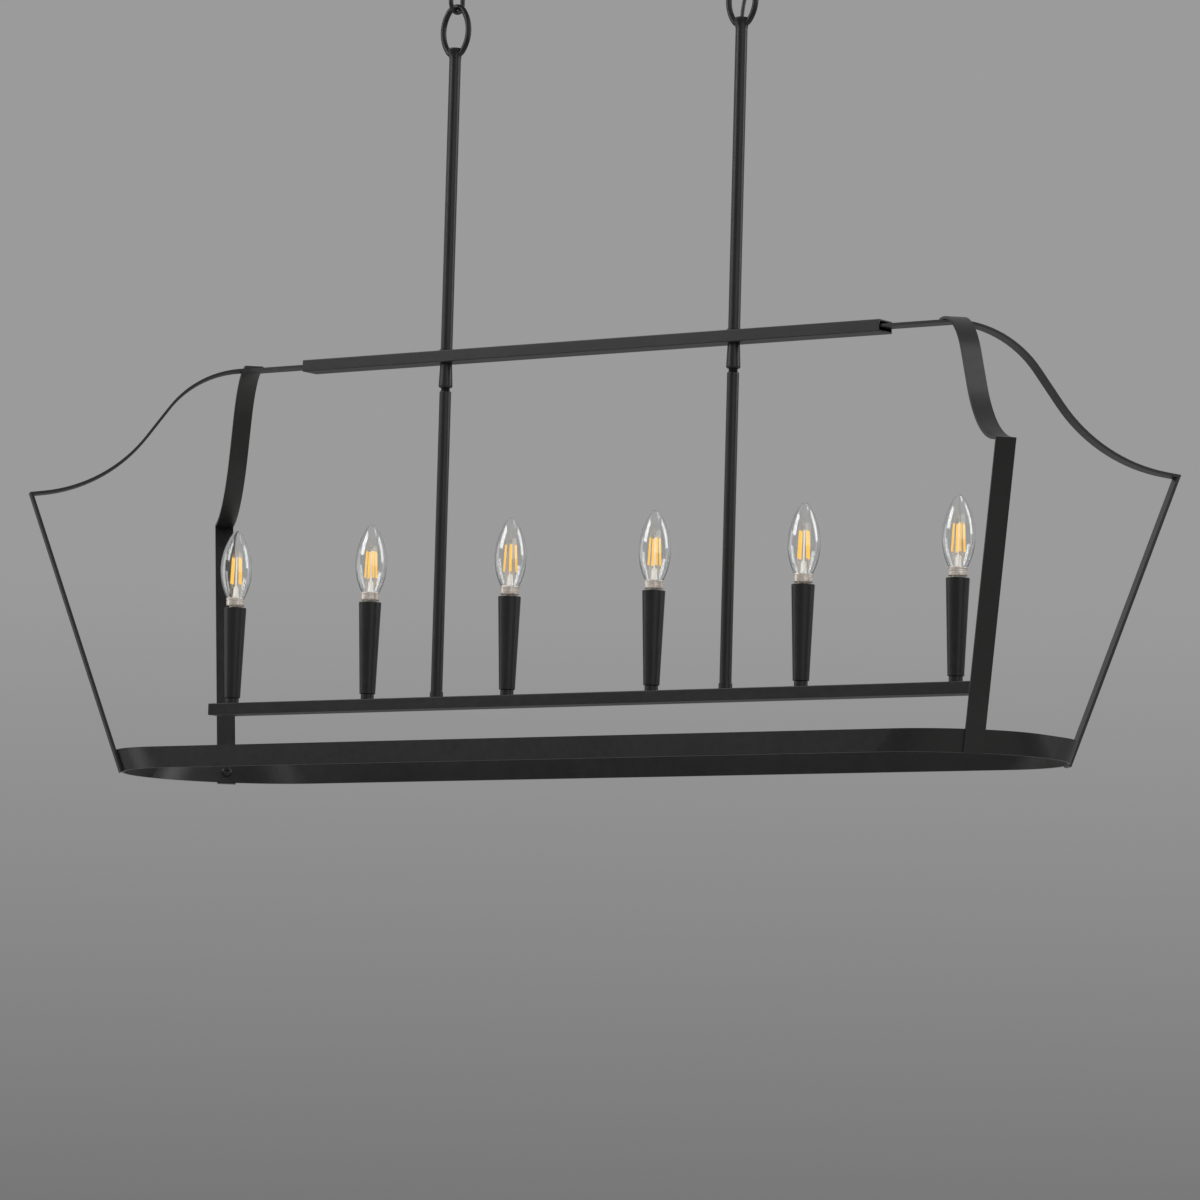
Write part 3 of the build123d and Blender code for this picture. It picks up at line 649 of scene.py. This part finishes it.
# the six bulbs: blown glass and its pinched stem, filaments, their wires, and the screw cap with its
# collar, insulator and contact
bulbs = {
    "places": (-467.5, -280.5, -93.5, 93.5, 280.5, 467.5),
    "glassFoot": -808.6,
    "glassHeight": 75.0,
    "bellyHeight": 32.0,
    "bellyRadius": 17.5,
    "neckRadius": 9.6,
    "tipRadius": 6.0,
    "wall": 0.8,
    "recess": 3.0,               # how far the glass stands in the cap
    "footRound": (0.6, 0.15),    # size of the foot's rounding, and how near to the corner its middle comes
    "arcPoints": (21, 25, 9),    # along the lower side, the upper side and the tip
    "poleRadius": 0.001,         # of the smallest ring, round the middle of each end
    "glassSides": 64,
    # height, half width and half thickness
    "stem": ((-2.0, 4.3, 4.3), (-0.4, 4.2, 4.2), (2.0, 3.7, 3.5), (4.5, 3.4, 2.5), (7.0, 3.4, 1.7),
             (8.6, 3.5, 1.3), (11.4, 3.4, 1.2), (12.6, 2.9, 1.15), (13.2, 1.9, 1.05), (13.8, 1.0, 0.9),
             (14.6, 0.8, 0.8), (45.2, 0.8, 0.8), (45.8, 0.62, 0.62), (46.1, 0.3, 0.3)),
    "stemTip": 0.08,             # how far the tip's middle stands over the last ring
    "stemSides": 40,
    "sticks": 4,
    # how far each bulb happens to be screwed round, in degrees
    "turns": (74.0, 60.0, 38.0, 53.0, 66.0, 47.0),
    "stickRadius": 1.15,
    "stickFlatness": 0.92,
    "stickEnds": 24,             # the higher, the blunter
    "stickPoints": 25,
    "lowCircle": 6.8,
    "lowHeight": 14.8,
    "highCircle": 5.2,
    "highHeight": 46.2,
    "tabLength": 2.4,
    "tabWidth": 2.0,             # in wire widths
    "tabFlatness": 0.35,
    "tabPoints": 4,
    "tabSides": 8,
    "wireRadius": 0.26,
    "wireStart": 1.0,            # how far past a stick's end its wire starts
    "wirePoints": 9,
    "crownRise": 2.6,
    "crownInset": 0.35,          # how far inside the upper circle the crown's wires start
    "pressOutset": 0.06,         # and how far outside the lower circle the press's do
    "pressRadius": 1.4,
    "pressHeight": 11.6,
    "beadRadius": 0.75,
    "beadHeight": 0.6,
    "beadEnd": 1.45,             # radians from the bead's middle to the end of its outline
    "beadSides": 16,
    # the two wires down the glass stem, by distance from the middle and height
    "leadIn": ((1.0, 10.5), (1.0, 6.0), (1.9, 2.0), (2.4, -1.6)),
    "collarOutline": ((9.70, -0.35), (10.05, 0.0), (10.45, -0.12), (10.62, -0.55), (10.50, -1.0),
                      (10.28, -1.35), (10.24, -1.9), (10.06, -6.4), (10.02, -7.5), (9.86, -8.25),
                      (9.40, -8.68), (8.70, -8.80), (6.75, -8.80), (6.60, -9.15), (6.60, -11.05)),
    # the cup that the glass stands in
    "collarFloor": ((0.0, -3.9), (9.65, -3.8), (9.68, -0.9)),
    "threadTop": -11.4,
    "threadEnd": -22.6,
    "threadPitch": 2.54,
    "threadCrest": 5.90,
    "threadRoot": 5.36,
    "threadFade": 1.2,           # length over which it fades out at both ends
    "threadRows": 66,
    "threadSides": 64,
    "insulator": ((5.25, -22.75), (5.30, -23.2), (4.95, -23.9), (3.6, -24.75), (2.9, -25.05)),
    "insulatorSides": 40,
    "contact": ((2.95, -24.9), (3.0, -25.15), (2.7, -25.55), (1.9, -25.74), (0.9, -25.79)),
    "contactSides": 32,
}


def glassOutline(c, inset):
    # three arcs, one after another: neck to belly, belly to tip and the round tip. Both side arcs stand
    # upright at the belly, so their middles lie level with it; their radii follow from the points they join
    belly, neck, tip = c["bellyRadius"], c["neckRadius"], c["tipRadius"]
    lowPoints, highPoints, tipPoints = c["arcPoints"]
    low, rise = c["bellyHeight"], c["glassHeight"] - c["tipRadius"] - c["bellyHeight"]
    lowRadius = (low ** 2 + (belly - neck) ** 2) / (2 * (belly - neck))
    highRadius = (belly ** 2 + rise ** 2 - tip ** 2) / (2 * (belly - tip))
    down = np.linspace(-math.asin(low / lowRadius), 0, lowPoints)[:-1]
    lean = math.atan2(rise, highRadius - belly)
    up = np.linspace(0, lean, highPoints)[:-1]
    nose = np.linspace(lean, math.pi / 2, tipPoints)[:-1]
    radius = np.concatenate((belly - lowRadius + (lowRadius - inset) * np.cos(down),
                             belly - highRadius + (highRadius - inset) * np.cos(up),
                             (tip - inset) * np.cos(nose)))
    height = np.concatenate((low + (lowRadius - inset) * np.sin(down),
                             low + (highRadius - inset) * np.sin(up),
                             c["glassHeight"] - tip + (tip - inset) * np.sin(nose)))
    foot = inset - c["recess"]
    edge, near = c["footRound"]
    radius = np.concatenate(((radius[0] - edge, radius[0] - near, radius[0]), radius))
    height = np.concatenate(((foot, foot + near, foot + edge), height))
    return np.stack((radius, height), 1)


def makeGlass(body, centre, c):
    # the outer wall runs upwards and the inner wall downwards, so that both face away from the glass
    walls = []
    for inset, way in ((0.0, 1), (c["wall"], -1)):
        low = ((c["poleRadius"], inset - c["recess"]),)
        high = ((c["poleRadius"], c["glassHeight"] - inset),)
        outline = np.concatenate((low, glassOutline(c, inset), high))
        walls.append(turned(outline[::way], centre, c["glassSides"]))
    addPiece(body + "_envelope", walls, "glass", body, [body + "_glass"])
    # the stem: each ring is an oval, half width x cos u across and half thickness x sin u
    height, wide, thick = np.array(c["stem"]).T[:, :, None]
    u = np.linspace(0, 2 * math.pi, c["stemSides"], endpoint=False)
    grid = np.stack((wide * np.cos(u), thick * np.sin(u), height + 0 * u), -1) * mm + centre
    ends = np.array(((0, 0, height[0, 0]), (0, 0, height[-1, 0] + c["stemTip"]))) * mm + centre
    addPiece(body + "_stem", [shell(grid, ends)], "pinchedGlass", body)


def makeBulb(number, c):
    centre = np.array((c["places"][number - 1] * mm, 0.0, c["glassFoot"] * mm))
    body = f"bulb_{number}"
    makeGlass(body, centre, c)
    sticks, wires = [], []
    s = np.linspace(-1, 1, c["stickPoints"])[1:-1, None]
    t = np.linspace(0, math.pi / 2, c["wirePoints"])[:, None]
    wireRadius = c["wireRadius"] * mm
    reach = c["tabLength"] * mm / 2
    crownFoot = c["highHeight"] + c["wireStart"]
    pressTop = c["lowHeight"] - c["wireStart"]
    for k in range(c["sticks"]):
        turn = 2 * math.pi * k / c["sticks"] + math.radians(c["turns"][number - 1])
        ray = np.array((math.cos(turn), math.sin(turn), 0.0))
        across = np.cross(ray, pole)
        low = (ray * c["lowCircle"] + pole * c["lowHeight"]) * mm + centre
        high = (ray * c["highCircle"] + pole * c["highHeight"]) * mm + centre
        along = (high - low) / np.linalg.norm(high - low)
        # a stick: a straight rod that rounds off at both ends, its radius times (1 - s^24)^(1/2)
        rod = low + (high - low) * (s + 1) / 2
        rodRadius = c["stickRadius"] * mm * np.sqrt(1 - s[:, 0] ** c["stickEnds"])
        sticks.append(swept(rod, rodRadius, across, c["stickFlatness"]))
        # tabs: short flat ends that stand out of the stick, then quarter ellipses to crown and press
        for end in (low, high):
            tab = end + along * np.linspace(-reach, reach, c["tabPoints"])[:, None]
            tabRadius = np.full(len(tab), c["tabWidth"] * wireRadius)
            wires.append(swept(tab, tabRadius, across, c["tabFlatness"], c["tabSides"]))
        crownOut = (c["highCircle"] - c["crownInset"]) * np.cos(t)
        crownUp = crownFoot + c["crownRise"] * np.sin(t)
        pressOut = c["pressRadius"] + (c["lowCircle"] + c["pressOutset"] - c["pressRadius"]) * np.cos(t)
        pressUp = pressTop - (pressTop - c["pressHeight"]) * np.sin(t)
        for out, up in ((crownOut, crownUp), (pressOut, pressUp)):
            route = (ray * out + pole * up) * mm + centre
            wires.append(swept(route, np.full(len(route), wireRadius), across))
    # a bead where the crown's wires meet, and the two wires down the glass stem
    v = np.linspace(-c["beadEnd"], c["beadEnd"], c["wirePoints"])
    level = crownFoot + c["crownRise"] + c["beadHeight"] * np.sin(v)
    wires.append(turned(np.stack((c["beadRadius"] * np.cos(v), level), 1), centre, c["beadSides"]))
    for side in (-1, 1):
        route = np.array([(side * radius, 0.0, height) for radius, height in c["leadIn"]]) * mm + centre
        wires.append(swept(route, np.full(len(route), wireRadius), np.array((0.0, 1.0, 0.0))))
    addPiece(body + "_sticks", sticks, "amber", body, [body + "_filaments"])
    addPiece(body + "_wires", wires, "nickelWire", body)

    # the cap: collar outline, then a rolled thread whose radius goes up and down once in a pitch and in a
    # turn, and fades out at both ends, then the insulator and the contact
    u = np.linspace(0, 2 * math.pi, c["threadSides"], endpoint=False)
    height = np.linspace(c["threadTop"], c["threadEnd"], c["threadRows"])[:, None]
    wave = 0.5 + 0.5 * np.cos(2 * math.pi * height / c["threadPitch"] - u)
    fromEnd = np.minimum(c["threadTop"] - height, height - c["threadEnd"])
    fade = np.clip(fromEnd / c["threadFade"], 0, 1)
    thread = c["threadRoot"] + (c["threadCrest"] - c["threadRoot"]) * wave * fade
    outline = np.array(c["collarFloor"] + c["collarOutline"])
    radius = np.concatenate((outline[:, :1] + 0 * u, thread))[::-1]
    level = np.concatenate((outline[:, 1:] + 0 * u, height + 0 * u))[::-1]
    grid = np.stack((radius * np.cos(u), radius * np.sin(u), level), -1) * mm + centre
    ends = np.array(((0, 0, c["threadEnd"]), (0, 0, c["collarFloor"][0][1]))) * mm + centre
    addPiece(body + "_shell", [shell(grid[:-1], ends)], "pearl", body, [body + "_cap"])
    insulator = turned(c["insulator"][::-1], centre, c["insulatorSides"])
    addPiece(body + "_insulator", [insulator], "blackGlass", body)
    contact = turned(c["contact"][::-1], centre, c["contactSides"])
    addPiece(body + "_contact", [contact], "solder", body)


for number in range(1, len(bulbs["places"]) + 1):
    makeBulb(number, bulbs)
print("bulbs ready")


# the threaded nipples of the stems, bars and lamps, and those of the canopy
nipples = {
    "crest": 4.98,
    "root": 4.42,
    "bore": 3.25,
    "pitch": 1.0,
    "flank": 1.5,          # the higher, the steeper the thread's sides
    "valley": 0.2,
    "chamfer": 0.25,       # how far under the root a thread starts
    "rowsPerPitch": 5,
    "sides": 24,
    # from, to, and at which x
    "pendantRuns": [(-235.2, -219.2, (-187.0, 187.0)), (-600.7, -539.2, (-187.0, 187.0)),
                    (-931.7, -911.2, (-187.0, 187.0)),
                    (-931.7, -849.8, (-467.5, -280.5, -93.5, 93.5, 280.5, 467.5))],
    "canopyRuns": [(-33.0, 0.0, (-187.0, 187.0))],
}


def nipple(low, high, x, c):
    # a thread: the radius falls from crest to root and back once in a pitch and in a turn, with a flat
    # crest; it runs out in a chamfer at both ends, and the bore closes the wall
    u = np.linspace(0, 2 * math.pi, c["sides"], endpoint=False)
    rows = int((high - low) / c["pitch"] * c["rowsPerPitch"]) + 1
    height = np.linspace(low, high, rows)[:, None]
    turns = (height / c["pitch"] - u / (2 * math.pi)) % 1
    tooth = np.clip(c["flank"] * np.abs(2 * turns - 1) - c["valley"], 0, 1)
    depth = c["crest"] - c["root"]
    fromEnd = np.minimum(height - low, high - height)
    radius = np.minimum(c["root"] + depth * tooth, c["root"] - c["chamfer"] + fromEnd)
    radius = np.concatenate((radius, np.full((2, c["sides"]), c["bore"])))
    level = np.concatenate((height, [[high], [low]])) + 0 * u
    grid = np.stack((radius * np.cos(u) + x, radius * np.sin(u), level), -1) * mm
    return shell(grid, closed=True)


def nipplesOf(runs, c):
    return [nipple(low, high, x, c) for low, high, places in runs for x in places]


addPiece("stem_nipples", nipplesOf(nipples["pendantRuns"], nipples), "blackThread", "pendant",
         ["threaded_nipples"])
addPiece("canopy_threads", nipplesOf(nipples["canopyRuns"], nipples), "zinc", "ceiling_mount",
         ["canopy_nipples"])
print("nipples ready")


# the four pan-head screws that hold the legs to the band, with a cross recess
screws = {
    "seat": (548.1195, 94.8195, -993.9),       # the middle of a leg's outer face, mirrored to the others
    "outward": (0.66489, 0.66489, -0.34036),   # the way out of the band, along the screw
    "headSeat": 3.02,                          # how far inside that face the head lies
    "headRadius": 5.75,
    "headHeight": 3.15,
    "rimShare": 0.30,                          # of the height, over which the rim stands straight
    "domeBend": 3.2,
    "rimChamfer": (0.25, 0.22),                # inwards and up
    "shankRadius": 1.98,
    "shankChamfer": 0.4,
    "bite": 1.95,
    "recessReach": 2.5,
    "recessWidth": 0.48,
    "recessDepth": 1.5,
    "recessMiddle": 1.1,                       # share of the depth in the middle
    "recessTaper": 0.55,                       # how much less of it there is at the reach
    "recessSlopes": (0.24, 0.3),               # widths of the sloping walls, at the sides and the ends
    "innerRows": (0.04, 0.56, 22),             # rows over the recess, as shares of the radius: from, to
    "outerRows": (0.60, 1.0, 12),              # and how many, and those from there to the rim
    "sides": 96,
}


def screw(signX, signY, c):
    # the head is a polar grid: its height over the seat is a dome, the rim's share plus the rest times
    # (1 - r^3.2)^(1/2), less a cross that is deepest in the middle and ends at its reach
    seat = np.array(c["seat"]) * (signX, signY, 1)
    outward = np.array(c["outward"]) * (signX, signY, 1)
    inward = -outward / np.linalg.norm(outward)
    level = np.cross(inward, pole)
    level = level / np.linalg.norm(level)
    upright = np.cross(level, inward)
    u = np.linspace(0, 2 * math.pi, c["sides"], endpoint=False) + math.pi / 4
    r = np.concatenate((np.linspace(*c["innerRows"]), np.linspace(*c["outerRows"])))[:, None]
    reach = r * c["headRadius"]
    rounding = np.sqrt(np.clip(1 - r ** c["domeBend"], 0, 1))
    dome = c["headHeight"] * (c["rimShare"] + (1 - c["rimShare"]) * rounding)
    arm = np.minimum(np.abs(np.cos(u)), np.abs(np.sin(u))) * reach
    sideSlope, endSlope = c["recessSlopes"]
    inside = np.clip((c["recessWidth"] + sideSlope / 2 - arm) / sideSlope, 0, 1)
    inside = inside * np.clip((c["recessReach"] - reach) / endSlope, 0, 1)
    depth = c["recessDepth"] * (c["recessMiddle"] - reach / c["recessReach"] * c["recessTaper"])
    dome = dome - inside * depth
    # rows run from the shank's end, over the seat and up the dome to the middle
    shankEnd = -(c["headSeat"] + c["bite"])
    rimIn, rimUp = c["rimChamfer"]
    low = np.array(((c["shankRadius"] - c["shankChamfer"], shankEnd),
                    (c["shankRadius"], shankEnd + c["shankChamfer"]),
                    (c["shankRadius"], 0.0), (c["headRadius"] - rimIn, 0.0), (c["headRadius"], rimUp)))
    radius = np.concatenate((low[:, :1] + 0 * u, reach[::-1] + 0 * u))
    height = np.concatenate((low[:, 1:] + 0 * u, dome[::-1] + 0 * u))
    base = seat + inward * c["headSeat"]
    around = level * np.cos(u)[None, :, None] + upright * np.sin(u)[None, :, None]
    grid = base + around * radius[:, :, None] + inward * height[:, :, None]
    ends = np.array((base + inward * height[0, 0], base + inward * height[-1, 0]))
    return shell(grid * mm, ends * mm)


addPiece("leg_screws", [screw(x, y, screws) for x in (-1, 1) for y in (-1, 1)], "paint", "pendant",
         ["foot_screws"])
print("screws ready")


# the room: a pale floor, a grey backdrop and large soft lamps
room = {
    "floorHeight": -2.45,
    "floorRadius": 45.0,
    "floorSides": 96,
    "floorRoughness": 0.9,
    "floorShine": 0.1,
    "floorNear": (0.74, 0.735, 0.72),
    "floorFarShade": (0.150, 0.150, 0.150),         # painted shade: it darkens with distance into the backdrop's grey, for the light falling off far from the lamps
    "shadeRun": (1.2, 8.0),                     # metres from the middle over which it does
    "shadeBend": 0.6,                           # below 1 it darkens fastest at the start
    "wornScale": 0.7,
    "wornShare": 0.08,
    "backdropLow": (0.160, 0.160, 0.160),
    "backdropHigh": (0.328, 0.328, 0.328),
    "backdropRise": (-0.025, 0.098),           # heights between which it turns paler, on a sphere of radius 1
    "fill": 1.0,
    "softboxes": [
        # azimuth, height over the lamps' middle, distance, width, depth, brightness
        (-70.0, 0.00, 3.6, 1.4, 2.4, 1.00),
        (-42.0, 1.98, 3.3, 2.0, 2.2, 3.9),
        (62.0, 1.10, 3.6, 2.8, 2.6, 0.80),
        (126.0, 1.60, 3.6, 1.7, 2.5, 2.8),
        (98.0, 3.00, 1.7, 0.9, 1.1, 3.0),
    ],
    "middle": (0.0, 0.0, -0.72),
}


def makeFloor(r):
    # a disc, seen from above only, so that a view from below still shows the pendant
    angle = np.linspace(0, 2 * math.pi, r["floorSides"], endpoint=False)
    ring = np.stack((np.cos(angle), np.sin(angle), 0 * angle), 1) * r["floorRadius"]
    ring[:, 2] = r["floorHeight"]
    mesh = bpy.data.meshes.new("floor")
    mesh.from_pydata(ring.tolist(), [], [list(range(r["floorSides"]))])
    floor = bpy.data.objects.new("floor", mesh)
    bpy.context.scene.collection.objects.link(floor)
    f = Finish("floor")
    # painted shade: the colour darkens with the distance from the middle
    away = f.add("VectorMath", {"operation": "LENGTH"}, {0: f.place}, out="Value")
    away = away.between(*r["shadeRun"]) ** r["shadeBend"]
    worn = f.noise(r["wornScale"], 3.0, 0.5) * r["wornShare"]
    colour = f.blend((away + worn).clamped(), r["floorNear"], r["floorFarShade"])
    pale = f.add("BsdfPrincipled", None, {"Base Color": colour, "Roughness": r["floorRoughness"],
                                          "Specular IOR Level": r["floorShine"]})
    clear = f.add("BsdfTransparent")
    under = f.add("NewGeometry", out="Backfacing")
    f.addOutput(f.shaders(under, pale, clear))
    mesh.materials.append(f.material)


def makeWorld(r):
    # a soft even fill; what the camera, metal and glass see of it is the grey backdrop, paler upwards
    world = bpy.data.worlds.new("studio")
    bpy.context.scene.world = world
    world.use_nodes = True
    f = Finish(None, world.node_tree)
    way = f.add("NewGeometry", out="Position")
    height = f.add("SeparateXYZ", None, {"Vector": way}, out="Z")
    grey = f.blend(height.between(*r["backdropRise"]), r["backdropLow"], r["backdropHigh"])
    light = f.add("Background", None, {"Color": (1.0, 1.0, 1.0, 1.0), "Strength": r["fill"]})
    seen = f.add("Background", None, {"Color": grey, "Strength": 1.0})
    kinds = ("Is Camera Ray", "Is Glossy Ray", "Is Transmission Ray")
    direct, glossy, through = [f.add("LightPath", out=kind) for kind in kinds]
    f.addOutput(f.shaders((direct + glossy + through).clamped(), light, seen), "OutputWorld")


def makeSoftboxes(r):
    # a softbox of brightness 1 looks as bright as plain white; its watts are brightness x pi x area
    middle = Vector(r["middle"])
    for count, (azimuth, height, distance, width, depth, brightness) in enumerate(r["softboxes"]):
        a = math.radians(azimuth)
        place = middle + Vector((math.sin(a) * distance, -math.cos(a) * distance, height))
        data = bpy.data.lights.new(f"softbox_{count + 1}", "AREA")
        data.shape = "RECTANGLE"
        data.size = width
        data.size_y = depth
        data.energy = brightness * math.pi * width * depth
        made = bpy.data.objects.new(f"softbox_{count + 1}", data)
        made.visible_camera = False
        made.location = place
        made.rotation_mode = "QUATERNION"
        made.rotation_quaternion = (middle - place).to_track_quat("-Z", "Y")
        bpy.context.scene.collection.objects.link(made)


makeFloor(room)
makeWorld(room)
makeSoftboxes(room)
bpy.context.scene.view_settings.view_transform = "Standard"
print("room ready")
